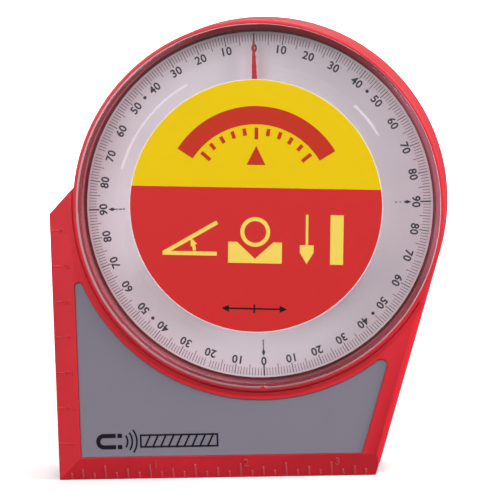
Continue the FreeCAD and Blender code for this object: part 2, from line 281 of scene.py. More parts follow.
def block(name, middle, size):
    bpy.ops.mesh.primitive_cube_add(size=1.0, location=middle, scale=size)
    return place(name_piece(bpy.context.object, name))


def disc(name, middle, radius, thickness, corners=32):
    """A round plate or bar whose axis runs from front to back."""
    bpy.ops.mesh.primitive_cylinder_add(vertices=corners, radius=radius, depth=thickness, location=middle,
                                        rotation=(math.pi / 2, 0, 0))
    return place(name_piece(bpy.context.object, name))


def copy_of(piece, name):
    """A copy with its own mesh."""
    other = bpy.data.objects.new(name, piece.data.copy())
    bpy.context.scene.collection.objects.link(other)
    return other


def join(pieces, name):
    only(*pieces)
    if len(pieces) > 1:
        bpy.ops.object.join()
    return name_piece(pieces[0], name)


def ridden(piece, body, slot, *stands_for):
    """Says which body a finished piece moves with and which solids it stands for. Its finish, the slot, is
    not used.
    """
    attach(piece, body)
    if stands_for:
        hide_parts(*stands_for)
    print(piece.name, "faces", len(piece.data.polygons))


# %% [markdown]
# ## Turned pieces
#
# Many pieces here are round: the clear cap, the bead at the ring's foot, the dial's rim. Each is drawn as
# half a section, from a single point that is extruded step by step, and then spun about the dial's axis. A
# lathe works the same way, so the section is all there is to think about.

# %% Drawing and spinning
point_gap = 0.0005 * mm


def round_off(centre_radius, centre_depth, size, start, end, steps=4):
    """Points on a quarter round of a section: start and end are degrees, 0 outwards and 90 to the front."""
    points = []
    for step in range(steps + 1):
        turn = math.radians(start + (end - start) * step / steps)
        points.append((centre_radius + size * math.cos(turn), centre_depth - size * math.sin(turn)))
    return points


def drawn(name, corners, closed=True):
    """A line that starts as one point and is extruded from corner to corner. It stays in edit mode."""
    bpy.ops.mesh.primitive_plane_add(size=mm)
    piece = name_piece(bpy.context.object, name)
    edit(piece)
    select_all()
    bpy.ops.mesh.merge(type="CENTER")
    bpy.ops.transform.translate(value=corners[0])
    for last, corner in zip(corners, corners[1:] + corners[:1] if closed else corners[1:]):
        extrude(corner - last)
    merge_points(point_gap)
    return piece


def turned(name, section, steps=192):
    """Spins a closed section of (radius, depth) about the dial's axis."""
    piece = drawn(name, [on_dial(radius, 90, depth) for radius, depth in section])
    bpy.ops.mesh.spin(steps=steps, angle=2 * math.pi, center=on_dial(0, 0, 0), axis=(0, 1, 0))
    merge_points(point_gap)
    bpy.ops.mesh.delete_loose()
    face_outwards()
    leave()
    return piece


# %% [markdown]
# ## Shader groups
#
# A node group is a small net of nodes that several materials share. Its inputs are plain numbers, so that
# each material can use it at its own scale and strength.

# %% Helpers for node groups


def new_group(name, inputs, outputs):
    group = bpy.data.node_groups.new(name, "ShaderNodeTree")
    for label, value in inputs.items():
        socket = group.interface.new_socket(name=label, in_out="INPUT", socket_type="NodeSocketFloat")
        socket.default_value = value
    for label in outputs:
        group.interface.new_socket(name=label, in_out="OUTPUT", socket_type="NodeSocketFloat")
    return group, group.nodes.new("NodeGroupInput").outputs, group.nodes.new("NodeGroupOutput").inputs


def object_place(tree):
    return tree.nodes.new("ShaderNodeTexCoord").outputs["Object"]


def group_noise(group, vector, scale, detail, distortion=0.0):
    """A noise whose place and scale are sockets."""
    node = group.nodes.new("ShaderNodeTexNoise")
    node.inputs["Detail"].default_value = detail
    node.inputs["Distortion"].default_value = distortion
    group.links.new(vector, node.inputs["Vector"])
    group.links.new(scale, node.inputs["Scale"])
    return node.outputs[0]


def group_math(group, operation, *values, clamp=False):
    """A Math node whose inputs are sockets or numbers."""
    node = group.nodes.new("ShaderNodeMath")
    node.operation = operation
    node.use_clamp = clamp
    for socket, value in zip(node.inputs, values):
        if isinstance(value, (int, float)):
            socket.default_value = value
        else:
            group.links.new(value, socket)
    return node.outputs[0]


# %% [markdown]
# ## Grain, scratches and dust
#
# Moulded plastic is never quite even: the tool's surface leaves a fine grain, and the colour flows a little
# lighter and darker. One group makes both, so every plastic and printed surface can use it at its own scale.
# A second group makes faint scratches, which run in all directions on a thing that is carried in a tool bag.
# A third one makes the dust that settles on faces that look up.

# %% Node groups
scratch_turns = (0.5, 2.1, 1.2)
scratch_stretches = (14.0, 18.0, 11.0)
scratch_offset = (0.013, 0.0, 0.007)
scratch_threshold = 0.72


def make_grain_group():
    inputs = {"Grain Scale": 2500.0, "Flow Scale": 45.0}
    group, given, result = new_group("moulded grain", inputs, ["Height", "Flow"])
    here = object_place(group)
    group.links.new(group_noise(group, here, given["Grain Scale"], 2.0), result["Height"])
    group.links.new(group_noise(group, here, given["Flow Scale"], 3.0, 0.6), result["Flow"])
    return group


def make_scratch_group():
    group, given, result = new_group("faint scratches", {"Scale": 260.0, "Amount": 0.5}, ["Mask"])
    here = object_place(group)
    marks = []
    for number, (turn, stretch) in enumerate(zip(scratch_turns, scratch_stretches)):
        mapping = group.nodes.new("ShaderNodeMapping")
        mapping.inputs["Rotation"].default_value = (0, turn, 0)
        mapping.inputs["Location"].default_value = Vector(scratch_offset) * number
        mapping.inputs["Scale"].default_value = (1.0, 1.0, stretch)
        group.links.new(here, mapping.inputs["Vector"])
        noise = group_noise(group, mapping.outputs[0], given["Scale"], 1.0)
        marks.append(group_math(group, "GREATER_THAN", noise, scratch_threshold))
    both = group_math(group, "MAXIMUM", marks[0], marks[1])
    every = group_math(group, "MAXIMUM", both, marks[2])
    group.links.new(group_math(group, "MULTIPLY", every, given["Amount"]), result["Mask"])
    return group


def make_dust_group():
    group, given, result = new_group("settled dust", {"Amount": 0.3, "Scale": 400.0}, ["Mask"])
    split = group.nodes.new("ShaderNodeSeparateXYZ")
    group.links.new(group.nodes.new("ShaderNodeNewGeometry").outputs["Normal"], split.inputs[0])
    lying = group_math(group, "MAXIMUM", split.outputs[2], 0.0)
    noise = group_noise(group, object_place(group), given["Scale"], 4.0)
    patchy = group_math(group, "MULTIPLY", lying, noise)
    group.links.new(group_math(group, "MULTIPLY", patchy, given["Amount"], clamp=True), result["Mask"])
    return group


grain_group = make_grain_group()
scratch_group = make_scratch_group()
dust_group = make_dust_group()
print("groups", [group.name for group in bpy.data.node_groups])

# %% [markdown]
# ## Materials
#
# A material here starts as one Principled shader. Its plain numbers are set on its own sockets. What varies
# over the surface is added by small functions: a tint that follows the flow of the plastic, a roughness that
# the scratches raise, and a bump from the grain.

# %% Putting a material together
flow_low = 0.3
flow_high = 0.7


def darker(colour, share):
    return tuple(value * share for value in colour)


class Finish:
    """A material that is being put together."""

    def __init__(self, name, colour, roughness, metallic=0.0):
        self.material = bpy.data.materials.new(name)
        self.material.use_nodes = True
        self.tree = self.material.node_tree
        self.shader = self.tree.nodes["Principled BSDF"]
        self.colour = colour
        self.roughness = roughness
        self.colour_so_far = colour
        self.set(Base_Color=(*colour, 1.0), Roughness=roughness, Metallic=metallic)

    def set(self, **values):
        for key, value in values.items():
            self.shader.inputs[key.replace("_", " ")].default_value = value

    def feed(self, socket, label):
        self.tree.links.new(socket, self.shader.inputs[label])

    def group(self, group, **values):
        node = self.tree.nodes.new("ShaderNodeGroup")
        node.node_tree = group
        for key, value in values.items():
            node.inputs[key.replace("_", " ")].default_value = value
        return node.outputs

    def mix_colour(self, factor, first, second):
        """A colour between two, by a socket. Each may be a socket or a plain colour."""
        node = self.tree.nodes.new("ShaderNodeMix")
        node.data_type = "RGBA"
        self.tree.links.new(factor, node.inputs["Factor"])
        for socket, value in ((node.inputs[6], first), (node.inputs[7], second)):
            if isinstance(value, tuple):
                socket.default_value = (*value, 1.0)
            else:
                self.tree.links.new(value, socket)
        return node.outputs[2]

    def value_range(self, socket, low, high, out_low, out_high):
        node = self.tree.nodes.new("ShaderNodeMapRange")
        limits = {"From Min": low, "From Max": high, "To Min": out_low, "To Max": out_high}
        for label, value in limits.items():
            node.inputs[label].default_value = value
        self.tree.links.new(socket, node.inputs["Value"])
        return node.outputs["Result"]

    def distance(self, middle, counted=(1, 0, 1)):
        """How far a point lies from a middle, in metres. By itself, depth isn't counted."""
        mapping = self.tree.nodes.new("ShaderNodeMapping")
        mapping.inputs["Scale"].default_value = counted
        mapping.inputs["Location"].default_value = [-part * share for part, share in zip(middle, counted)]
        length = self.tree.nodes.new("ShaderNodeVectorMath")
        length.operation = "LENGTH"
        self.tree.links.new(object_place(self.tree), mapping.inputs["Vector"])
        self.tree.links.new(mapping.outputs[0], length.inputs[0])
        return length.outputs["Value"]

    def tint(self, factor, other):
        self.colour_so_far = self.mix_colour(factor, self.colour_so_far, other)
        self.feed(self.colour_so_far, "Base Color")

    def rougher(self, factor, high):
        """Roughness that rises from the plain value to a higher one where a socket is 1."""
        self.feed(self.value_range(factor, 0.0, 1.0, self.roughness, high), "Roughness")

    def bump(self, height, strength, distance):
        node = self.tree.nodes.new("ShaderNodeBump")
        node.inputs["Strength"].default_value = strength
        node.inputs["Distance"].default_value = distance
        self.tree.links.new(height, node.inputs["Height"])
        self.feed(node.outputs[0], "Normal")

    def uneven(self, grain_scale, flow_scale, share, strength, depth):
        """Colour that flows to a darker share of itself, and a fine grain."""
        grain = self.group(grain_group, Grain_Scale=grain_scale, Flow_Scale=flow_scale)
        self.tint(self.value_range(grain["Flow"], flow_low, flow_high, 0.0, 1.0), darker(self.colour, share))
        self.bump(grain["Height"], strength, depth)


def paint(piece, *materials):
    """Gives a piece its materials in place of any that it has."""
    piece.data.materials.clear()
    for material in materials:
        piece.data.materials.append(material)


# %% [markdown]
# ## Red moulded plastic
#
# The housing is a glossy red moulding. Its skin is smooth enough to show soft reflections, but a fine orange
# peel spreads them, so the coat is left off and the roughness is kept between satin and gloss. The wall of
# the cup is in a darker, greyer red: greyer where the cap is glued to it, and darker as a painted shade.
# Patches of painted shade near the top and the bottom, and of painted reflection at the right, change its
# colour round the dial.

# %% Red plastics
red = (0.66, 0.019, 0.032)
# The cup's inside: greyer where it is seen through the glued cap, and darker as a painted shade.
shaded_hazy_red = (0.45, 0.07, 0.095)
# Lighter red of the inch marks: rubbing, and a painted highlight for the light that their tops catch.
worn_and_lit_red = (0.62, 0.075, 0.095)
dust_colour = (0.50, 0.44, 0.42)
painted_patch_core = 18 * mm
painted_patch_reach = 32 * mm
# Painted shade on the cup's wall near the top and the bottom, and a painted pinkish reflection at the right.
cup_shade_and_reflection_patches = ((8, (0.30, 0.006, 0.018)), (80, (0.66, 0.19, 0.25)), (180, (0.30, 0.03, 0.045)))


def plastic(name, colour, roughness, grain_strength, painted_light_patches=()):
    """Moulded plastic. A patch is an angle on the dial and the colour of the painted shade or painted
    reflection on the cup's wall there.
    """
    finish = Finish(name, colour, roughness)
    finish.uneven(grain_scale=2600.0, flow_scale=60.0, share=0.88, strength=grain_strength, depth=0.02 * mm)
    for angle, other in painted_light_patches:
        distance = finish.distance(on_dial(dial_radius, angle, 0))
        finish.tint(finish.value_range(distance, painted_patch_core, painted_patch_reach, 1.0, 0.0), other)
    finish.tint(finish.group(dust_group, Amount=0.12, Scale=500.0)["Mask"], dust_colour)
    finish.rougher(finish.group(scratch_group, Scale=240.0, Amount=0.6)["Mask"], roughness + 0.15)
    finish.set(Specular_IOR_Level=0.65)
    return finish.material


red_plastic = plastic("red moulded plastic", red, roughness=0.33, grain_strength=0.25)
# The cup's inside, with its painted shade and painted reflection.
shaded_inner_plastic = plastic("red plastic inside the cup, painted shade", shaded_hazy_red, roughness=0.4, grain_strength=0.25,
                        painted_light_patches=cup_shade_and_reflection_patches)
worn_and_lit_plastic = plastic("red plastic, worn and painted bright", worn_and_lit_red, roughness=0.42, grain_strength=0.4)
cover_plastic = plastic("red cover plastic", darker(red, 0.9), roughness=0.45, grain_strength=0.6)
print("materials so far", [material.name for material in bpy.data.materials])

# %% [markdown]
# ## Clear plastic
#
# The cap is clear polystyrene. It bends light like glass, so Transmission Weight is plainly one. Its walls
# are thin, and the scene's lamps have to reach the dial behind it: the piece casts no shadow, because a lamp
# can't be found through a bent pane in a few samples.

# %% Clear plastic
clear_index = 1.49

clear = Finish("clear plastic", (0.985, 0.975, 0.98), roughness=0.02)
clear.set(Transmission_Weight=1.0, IOR=clear_index)
clear.rougher(clear.group(scratch_group, Scale=300.0, Amount=0.8)["Mask"], 0.16)

# A whitish, partly clear finish that paints the reflection seen in the rim's rounding.
rim_reflection = Finish("clear plastic, rim with painted reflection", (0.90, 0.73, 0.77), roughness=0.35)
rim_reflection.set(Transmission_Weight=0.6, IOR=clear_index)
rim_reflection.rougher(rim_reflection.group(grain_group, Grain_Scale=900.0, Flow_Scale=150.0)["Flow"], 0.6)
clear_plastic = clear.material
rim_reflection_plastic = rim_reflection.material
print("clear plastics bend light by", clear_index)

# %% [markdown]
# ## Inks, labels and metals
#
# The inks and the labels are prints on foil and sheet, with hardly any grain. The metals are plain: turned
# brass, ground steel, zinc plated sheet and a die-cast weight. Each has its own grain and roughness, and its
# scratches are rougher still.

# %% Prints and metals


def printed(name, colour, roughness=0.45, specular=0.5, flow=0.97):
    finish = Finish(name, colour, roughness)
    finish.uneven(grain_scale=4000.0, flow_scale=90.0, share=flow, strength=0.15, depth=0.005 * mm)
    finish.set(Specular_IOR_Level=specular)
    return finish.material


def metal(name, colour, roughness, grain_scale=1800.0, grain_strength=0.3):
    finish = Finish(name, colour, roughness, metallic=1.0)
    finish.uneven(grain_scale, flow_scale=220.0, share=0.9, strength=grain_strength, depth=0.01 * mm)
    finish.rougher(finish.group(scratch_group, Scale=700.0, Amount=0.7)["Mask"], roughness + 0.2)
    return finish.material


dial_ink = printed("dial ink", (0.045, 0.04, 0.06), 0.5)
tick_ink = printed("tick ink", (0.25, 0.19, 0.235), 0.5)
label_yellow = printed("label yellow", (0.76, 0.52, 0.0), 0.5, 0.2)
label_red = printed("label red", (0.58, 0.018, 0.018), 0.45, 0.4)
label_paper = printed("label paper", (0.85, 0.82, 0.82), 0.6)
label_grey = printed("label grey", (0.20, 0.185, 0.23), 0.6, 0.3)
label_black = printed("label black", (0.010, 0.008, 0.012), 0.6, 0.15)
needle_red = printed("needle red", (0.62, 0.02, 0.03), 0.35)
magnet_black = printed("magnet black", (0.03, 0.03, 0.033), 0.6, flow=0.7)
brass = metal("brass", (0.78, 0.57, 0.25), 0.25)
screw_steel = metal("screw steel", (0.72, 0.72, 0.70), 0.48)
shaft_steel = metal("shaft steel", (0.65, 0.65, 0.66), 0.18)
cast_weight = metal("cast weight", (0.42, 0.42, 0.43), 0.5, 900.0, 0.6)
rivet_alloy = metal("rivet alloy", (0.75, 0.75, 0.76), 0.35)
plate_steel = metal("plate steel", (0.55, 0.55, 0.55), 0.35)
print("materials", len(bpy.data.materials))

# %% [markdown]
# ## White of the dial
#
# The dial is a satin white sheet with a warm grey cast. A painted shade darkens it a little along its border,
# where the cup's wall keeps light away, and a painted highlight shows its cut edge as a light line round the
# print. Both follow the distance from the dial's middle.

# %% White of the dial
dial_colour = (0.94, 0.86, 0.93)
edge_highlight_colour = (0.95, 0.90, 0.93)
border_start = dial_radius - 2.2 * mm
border_end = dial_radius - 0.5 * mm
edge_highlight_start = dial_radius - 0.62 * mm

dial_finish = Finish("dial white", dial_colour, roughness=0.5)
from_middle = dial_finish.distance(on_dial(0, 0, 0))
dial_border = dial_finish.value_range(from_middle, border_start, border_end, 0.0, 0.12)
dial_finish.tint(dial_border, darker(dial_colour, 0.5))
# A painted highlight: the cut edge as a light line round the print.
dial_finish.tint(dial_finish.value_range(from_middle, edge_highlight_start, border_end, 0.0, 1.0), edge_highlight_colour)
dial_grain = dial_finish.group(grain_group, Grain_Scale=4000.0, Flow_Scale=90.0)
dial_flow = dial_finish.value_range(dial_grain["Flow"], 0.35, 0.75, 0.0, 0.25)
dial_finish.tint(dial_flow, darker(dial_colour, 0.85))
dial_finish.bump(dial_grain["Height"], strength=0.15, distance=0.005 * mm)
dial_white = dial_finish.material
print("dial's light edge starts", round(edge_highlight_start / mm, 2), "mm from its middle")

# %% [markdown]
# ## The solids that stay as they are
#
# The bushes, the shaft, the hub, the magnets and their plates have the right shape already. They keep their
# solids and get a weld, so that their loose triangles hang together, and a small bevel, so that their edges
# catch the light as broken edges do.

# %% Dress the plain solids
plain_finishes = {
    "rear_cover": cover_plastic,
    "dial_plate": dial_white,
    "dial_screws": screw_steel,
    "front_bush": brass,
    "rear_bush": brass,
    "pivot_shaft": shaft_steel,
    "needle": needle_red,
    "needle_hub": brass,
    "retaining_ring": shaft_steel,
    "counterweight": cast_weight,
    "weight_rivets": rivet_alloy,
    "magnet_left": magnet_black,
    "magnet_right": magnet_black,
    "pole_plate_left_front": plate_steel,
    "pole_plate_left_back": plate_steel,
    "pole_plate_right_front": plate_steel,
    "pole_plate_right_back": plate_steel,
}
broken_edge = {"rear_cover": 0.3 * mm, "dial_plate": 0.12 * mm, "counterweight": 0.3 * mm}
small_break = 0.1 * mm
weld_gap = 0.001 * mm
break_from = math.radians(35)
split_from = math.radians(32)


def dress_solid(solid, material, break_width):
    """Gives a solid its finish, broken edges and shading that stays flat on its flat faces."""
    paint(solid, material)
    smooth(solid)
    add_modifier(solid, "WELD", merge_threshold=weld_gap)
    if break_width:
        add_modifier(solid, "BEVEL", width=break_width, segments=2, limit_method="ANGLE",
                     angle_limit=break_from, use_clamp_overlap=True)
    add_modifier(solid, "EDGE_SPLIT", split_angle=split_from)
    add_modifier(solid, "WEIGHTED_NORMAL", keep_sharp=True)


for node_name, material in plain_finishes.items():
    dress_solid(nodes[node_name], material, broken_edge.get(node_name, small_break))
print("dressed", len(plain_finishes), "solids")

# %% [markdown]
# ## Housing
#
# The housing is one moulding: a flared base with two bevelled rule edges, and the cup that holds the dial.
# Its main form is in the solid. A copy of the solid is merged and freed of its needless edges, and then its
# edges are rounded in groups, because a moulding tool has different radii: wide ones on the outside, where
# a hand holds it, and a fine one on the crest between a bevel and the label's recess.

# %% Copy the housing's solid
flat_within = math.radians(0.4)

housing = copy_of(nodes["housing"], "housing_shell")
tidy_mesh(housing)
edit(housing)
select_all()
bpy.ops.mesh.dissolve_limited(angle_limit=flat_within)
leave()
print("merged housing", len(housing.data.vertices), "points")

# %% [markdown]
# ## Rounding the moulding
#
# Each group of edges is picked by its place: the ring's outer edge, the edges that a hand meets, and the
# crest round the recess. Places are compared with a small tolerance, because a merged mesh is never exact.

# %% Which edges are rounded together
near = 0.05 * mm
crease = 22.0
bevel_reach = 6.35 * mm
recess_depth = 0.7 * mm
ring_radius = 51.3 * mm
ring_seat_radius = ring_radius - 0.95 * mm
crest_clearance = 1.5 * mm
cored_depth = 2.5 * mm


def from_dial(point):
    """How far a point lies from the dial's axis."""
    return math.hypot(point.x - dial_x, point.z - dial_z)


def on_ring_face(point, radius):
    """True in the front face of the dial ring, at a radius."""
    return abs(point.y - housing_low.y) < near and abs(from_dial(point) - radius) < 3 * near


def past_bevels(point):
    return point.x > left_x + bevel_reach - near and point.z > bevel_reach - near


def ring_edge(middle, angle):
    return angle > crease and on_ring_face(middle, ring_radius)


def outer_edge(middle, angle):
    """Sharp edges that a hand meets: not those of the recess, nor those inside the cup or the base."""
    if angle < crease or on_ring_face(middle, ring_seat_radius):
        return False
    if past_bevels(middle) and front_y - near < middle.y < front_y + recess_depth + near:
        return False
    if from_dial(middle) < lens_radius - near and middle.y > housing_low.y + near:
        return False
    return middle.y < housing_high.y - cored_depth or middle.y > housing_high.y - near


def recess_edge(middle, angle):
    """The crest round the label's recess, and the ring's edge beside the clear cap."""
    if angle > crease and on_ring_face(middle, ring_seat_radius):
        return True
    if angle < crease or abs(middle.y - front_y) > near:
        return False
    return past_bevels(middle) and from_dial(middle) > lens_radius + crest_clearance


# %% [markdown]
# ## Three radii and two reds
#
# A bevel in edit mode rounds each group by its own radius. The faces inside the cup get the darker, hazy red
# with its painted shade and painted reflection, and a face belongs there only when its farthest corner does.
# At the end the normals are weighted by the size of the faces, so that the large flat faces stay flat beside
# the small roundings.

# %% Round the housing's edges
ring_round = 0.6 * mm
outer_round = 0.3 * mm
fine_round = 0.07 * mm
cup_margin = 0.2 * mm

edge_groups = ((ring_edge, ring_round, 5), (outer_edge, outer_round, 2), (recess_edge, fine_round, 1))
edit(housing, "EDGE")
for test, size, segments in edge_groups:
    print("edges rounded by", round(size / mm, 2), "mm:", pick_edges(housing, test))
    bpy.ops.mesh.bevel(offset=size, segments=segments, profile=0.5, clamp_overlap=True)
leave()
paint(housing, red_plastic, shaded_inner_plastic)
# Faces inside the cup take the red with the painted shade and painted reflection.
for face in housing.data.polygons:
    reach = max(from_dial(housing.data.vertices[number].co) for number in face.vertices)
    in_cup = reach < lens_radius + cup_margin and face.center.y > housing_low.y + 3 * near
    face.material_index = int(in_cup)
smooth(housing)
add_modifier(housing, "WEIGHTED_NORMAL", keep_sharp=True)
apply_modifiers(housing)
ridden(housing, "case", "red_plastic", "housing")

# %% [markdown]
# ## Bead at the ring's foot
#
# Where the dial ring stands on the base, the moulding has a low rounded bead. A narrow gap between ring and
# bead stays dark, and the bead's crown shows as a soft bright line. The bead is easiest as a turned section:
# a steep inner flank, a round crown and a long outer slope that runs out on the base.

# %% Ring bead
bead_gap = 0.32 * mm
bead_height = 0.3 * mm
bead_crown = 0.2 * mm
bead_width = 1.25 * mm
slope_middle = 0.6
slope_height = 0.35
tuck = 0.05 * mm
side_reach = 28 * mm
shoulder_reach = 5 * mm

bead_foot = ring_radius + bead_gap
bead_section = [(bead_foot, tuck)]
bead_section += round_off(bead_foot + bead_crown, bead_crown - bead_height, bead_crown, 180, 75, 5)
bead_section += [(bead_foot + slope_middle * bead_width, -slope_height * bead_height)]
bead_section += [(bead_foot + bead_width, 0.0), (bead_foot + bead_width, tuck)]
bead = turned("ring_bead", bead_section)


def beyond_base(middle, normal):
    """True where the ring has no base in front of it: past the right side and above the shoulder."""
    return middle.z > dial_z - side_reach and middle.x > dial_x or middle.z > dial_z + shoulder_reach


edit(bead)
pick_faces(bead, beyond_base)
bpy.ops.mesh.delete(type="FACE")
leave()
paint(bead, red_plastic)
smooth(bead)
ridden(bead, "case", "red_plastic")

# %% [markdown]
# ## Raised rule marks
#
# The bottom bevel carries inches in eighths and the left one centimetres. The marks are low ridges of the
# moulding itself, in nearly the same red, and show mostly by the light on their flanks. One ridge of each
# length is modelled from a cube whose top is bevelled, and copied along the rule. Both bevels slope, so the
# ridges are made flat and then laid on the slope by one turn about the bevel's edge.

# %% Ridges and raised digits
ridge_width = 0.5 * mm
ridge_height = 0.16 * mm
ridge_round = 0.8
mark_start = 0.35 * mm
digit_size = 3.3 * mm
letter_space = 1.06


def make_ridge(name, length, height=ridge_height):
    """A ridge that stands on the plane z = 0 and runs along +Y from the rule's edge."""
    ridge = block(name, (0, mark_start + length / 2, 0), (ridge_width, length, 2 * height))
    edit(ridge, "FACE")
    pick_faces(ridge, lambda middle, normal: normal.z > 0.9)
    bpy.ops.mesh.bevel(offset=ridge_round * height, segments=2, profile=0.5)
    leave()
    return ridge


def make_text(name, text, size, height, weight=0.0):
    """Text as a mesh, centred at the origin, facing +Z."""
    bpy.ops.object.text_add()
    piece = bpy.context.object
    piece.data.body = text
    piece.data.size = size
    piece.data.extrude = height
    piece.data.offset = weight
    piece.data.align_x = "CENTER"
    piece.data.align_y = "CENTER"
    piece.data.resolution_u = 4
    piece.data.space_character = letter_space
    only(piece)
    bpy.ops.object.convert(target="MESH")
    piece = bpy.context.object
    low = Vector(min(corner[axis] for corner in piece.bound_box) for axis in range(3))
    high = Vector(max(corner[axis] for corner in piece.bound_box) for axis in range(3))
    middle = (low + high) / 2
    piece.data.transform(Matrix.Translation((-middle.x, -middle.y, 0)))
    return name_piece(piece, name)


def finish_rule(marks, name, material):
    rule = join(marks, name)
    paint(rule, material)
    smooth(rule)
    ridden(rule, "case", "red_plastic")


# %% [markdown]
# ## Inches along the bottom
#
# The inches and halves have long marks, the quarters shorter ones and the eighths the shortest. Each digit
# stands to the right of its mark. All of them are in a lighter red than the bevel, partly for rubbing and
# partly as a painted highlight for the light that their tops catch.

# %% Inch marks
inch = 25.4 * mm
rule_zero = 0.48 * mm
eighth_lengths = (4.1 * mm, 1.8 * mm, 2.9 * mm, 1.8 * mm)
eighth_count = 27
inch_count = 3
inch_digit_shift = 1.7 * mm
inch_digit_up = 4.6 * mm
bevel_slope = math.radians(20)
quarter_turn = math.radians(90)

bevel_foot = on_base(0, 0, bevel_reach * math.tan(bevel_slope))
bottom_plane = Matrix.Translation(bevel_foot) @ Matrix.Rotation(quarter_turn + bevel_slope, 4, "X")
ridges = {length: make_ridge("ridge", length) for length in eighth_lengths[:3]}
bottom_marks = []
for number in range(1, eighth_count + 1):
    mark = copy_of(ridges[eighth_lengths[number % len(eighth_lengths)]], "mark")
    mark.data.transform(bottom_plane @ Matrix.Translation((rule_zero + number * inch / 8, 0, 0)))
    bottom_marks.append(mark)
for number in range(1, inch_count + 1):
    digit = make_text("digit", str(number), digit_size, ridge_height)
    across = rule_zero + number * inch + inch_digit_shift
    digit.data.transform(bottom_plane @ Matrix.Translation((across, inch_digit_up, 0)))
    bottom_marks.append(digit)
for ridge in ridges.values():
    bpy.data.objects.remove(ridge)
finish_rule(bottom_marks, "inch_marks", worn_and_lit_plastic)

# %% [markdown]
# ## Centimetres up the left side
#
# The left bevel is the bottom one turned by a quarter, so its marks are laid on it by one more turn. They are
# lower than the inch marks and hardly show. Each digit stands beside its mark.

# %% Centimetre marks
centimetre = 10 * mm
centimetre_count = 7
centimetre_length = 2.4 * mm
centimetre_height = 0.06 * mm
centimetre_digit_up = 4.3 * mm
centimetre_digit_height = 1.4 * ridge_height

stand_up = Matrix.Rotation(quarter_turn, 4, "X")
lie_left = Matrix.Rotation(-quarter_turn, 4, "Z")
left_plane = Matrix.Translation(bevel_foot) @ stand_up @ lie_left @ Matrix.Rotation(bevel_slope, 4, "X")
long_ridge = make_ridge("long_ridge", centimetre_length, centimetre_height)
left_marks = []
for number in range(1, centimetre_count + 1):
    along = -rule_zero - number * centimetre
    mark = copy_of(long_ridge, "mark")
    mark.data.transform(left_plane @ Matrix.Translation((along, 0, 0)))
    digit = make_text("digit", str(number), digit_size, centimetre_digit_height)
    stand = Matrix.Translation((along, centimetre_digit_up, 0)) @ Matrix.Rotation(2 * quarter_turn, 4, "Z")
    digit.data.transform(left_plane @ stand)
    left_marks += [mark, digit]
bpy.data.objects.remove(long_ridge)
finish_rule(left_marks, "centimetre_marks", red_plastic)

# %% [markdown]
# ## Clear cap
#
# The cap is a thin dish. Its rim drops into the ring, its flat brim lets the scale show, and a raised middle
# carries the round label. The bright rings in the photograph are the slopes of this section, so it is drawn
# with all its steps and small rounds, and spun finely. The rim is bonded into the ring's seat. There it sinks
# into the red plastic by a few hundredths, so that the red is seen through it without a film of air.

# %% Clear cap
lens_back = -1.1 * mm
lens_front = -3.1 * mm
lens_foot = 0.5 * mm
bond_sink = 0.04 * mm
bond_top = -ring_rise + 0.35 * mm
bond_radius = ring_seat_radius + bond_sink
label_seat = -3.42 * mm
rim_round = 0.9 * mm
rim_inner = 48.9 * mm
plateau_radius = 39.0 * mm
lip_radius = 36.5 * mm
lip_width = 0.6 * mm
lip_height = 0.12 * mm
step_slope = 0.15 * mm
step_width = 0.67 * mm
boss_radius = 4.0 * mm
boss_back = 0.4 * mm
bush_radius = 2.0 * mm
bush_front = -2.2 * mm

lip_front = label_seat - lip_height
section = [(0.0, label_seat), (lip_radius, label_seat), (lip_radius + step_slope, lip_front)]
section += [(lip_radius + lip_width - step_slope, lip_front), (lip_radius + lip_width, label_seat)]
section += [(plateau_radius - step_width, label_seat), (plateau_radius, lens_front)]
section += round_off(lens_radius - rim_round, lens_front + rim_round, rim_round, 90, 0, 12)
section += [(lens_radius, bond_top), (bond_radius, bond_top + bond_sink)]
section += [(bond_radius, lens_foot + bond_sink)]
section += [(rim_inner, lens_foot + bond_sink), (rim_inner, lens_back)]
section += [(boss_radius, lens_back), (boss_radius, boss_back)]
section += [(bush_radius, boss_back), (bush_radius, bush_front), (0.0, bush_front)]
lens = turned("lens_cap", section)

# %% [markdown]
# ## Key notch and painted reflection on the rim
#
# A key in the ring's seat stops the cap from turning, so the rim needs a notch, cut by a round bar. The rim
# stands out of the ring, and its outer faces get a whitish, partly clear finish that paints the reflection
# seen in its rounding. These faces are those that lie farthest from a point a little off the middle, which
# makes the painted band wider on the lower left.

# %% Key notch and painted rim reflection
reflection_shift = 0.4 * mm
reflection_angle = 45
reflection_reach = lens_radius - 0.45 * mm
key_clearance = 0.1 * mm
key_radius = 0.75 * mm
notch_length = 2 * (lens_foot - lens_front)
notch_middle = on_dial(ring_seat_radius, 180, (lens_foot + lens_front) / 2)

cut_away(lens, disc("notch", notch_middle, key_radius + key_clearance, notch_length))
paint(lens, clear_plastic, rim_reflection_plastic)
# The faces with the painted reflection lie far from a point a little off the middle.
reflection_middle = on_dial(reflection_shift, reflection_angle, 0)
for face in lens.data.polygons:
    reach = math.hypot(face.center.x - reflection_middle.x, face.center.z - reflection_middle.z)
    face.material_index = int(reach > reflection_reach and face.center.y < front_y - ring_rise)
smooth(lens, 20)
add_modifier(lens, "WEIGHTED_NORMAL", keep_sharp=True)
apply_modifiers(lens)
lens.visible_shadow = False
ridden(lens, "case", "clear_plastic", "lens")

# %% [markdown]
# ## Dial print
#
# The dial is divided into degrees, four times from 0 to 90. Tens and fives are longer, and the four ends of
# the two axes are heavy and black. A mark of each kind is drawn once and spun about the dial's axis as
# copies, which is how a dividing head would rule them: the four single degrees every 5 degrees, the fives
# every 10, and the tens by quarters. The ink is a film of two hundredths of a millimetre.

